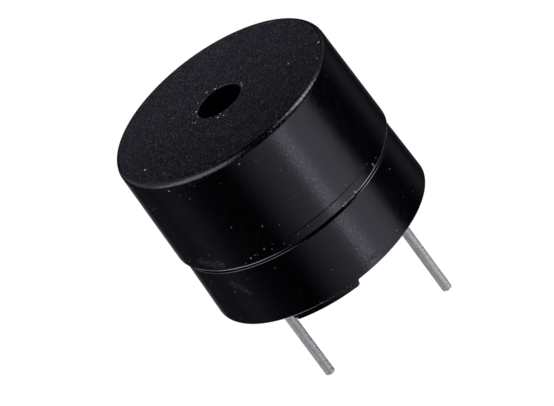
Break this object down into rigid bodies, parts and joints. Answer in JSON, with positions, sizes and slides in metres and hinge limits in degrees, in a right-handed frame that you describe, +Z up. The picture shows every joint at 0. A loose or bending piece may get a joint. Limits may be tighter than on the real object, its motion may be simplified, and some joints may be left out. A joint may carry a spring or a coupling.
{
  "type": "passive buzzer",
  "caption": "Round black magnetic buzzer for a circuit board: two-piece moulded case, sound hole in the top, stand-off feet and a longer and a shorter tinned pin.",
  "frame": {"origin": "on the case's axis in the seating plane, midway between the two pins, where the feet meet the circuit board", "axes": "+Z up through the sound hole; the pins stand on the X axis, the longer, positive pin at -X"},
  "size_m": [0.012, 0.012, 0.016],
  "materials": {
    "case": "semi-gloss wall, fine matt top",
    "tinned_wire": "dull tin",
    "solder": "bright solder",
    "spring_steel": "rolled",
    "soft_iron": "zinc plated",
    "ferrite": "ground",
    "copper_wire": "enamelled",
    "board": "green solder mask",
    "resin": "cured resin"
  },
  "bodies": {
    "root": {"upper_case": "case", "lower_case": "case", "diaphragm": "spring_steel", "armature_disc": "soft_iron", "ring_magnet": "ferrite", "coil": "copper_wire", "pole_core": "soft_iron", "yoke_plate": "soft_iron", "circuit_board": "board", "pin_positive": "tinned_wire", "pin_negative": "tinned_wire", "pin_solder_positive": "solder", "pin_solder_negative": "solder", "lead_solder_positive": "solder", "lead_solder_negative": "solder", "sealing_bead": "resin"}
  },
  "joints": []
}
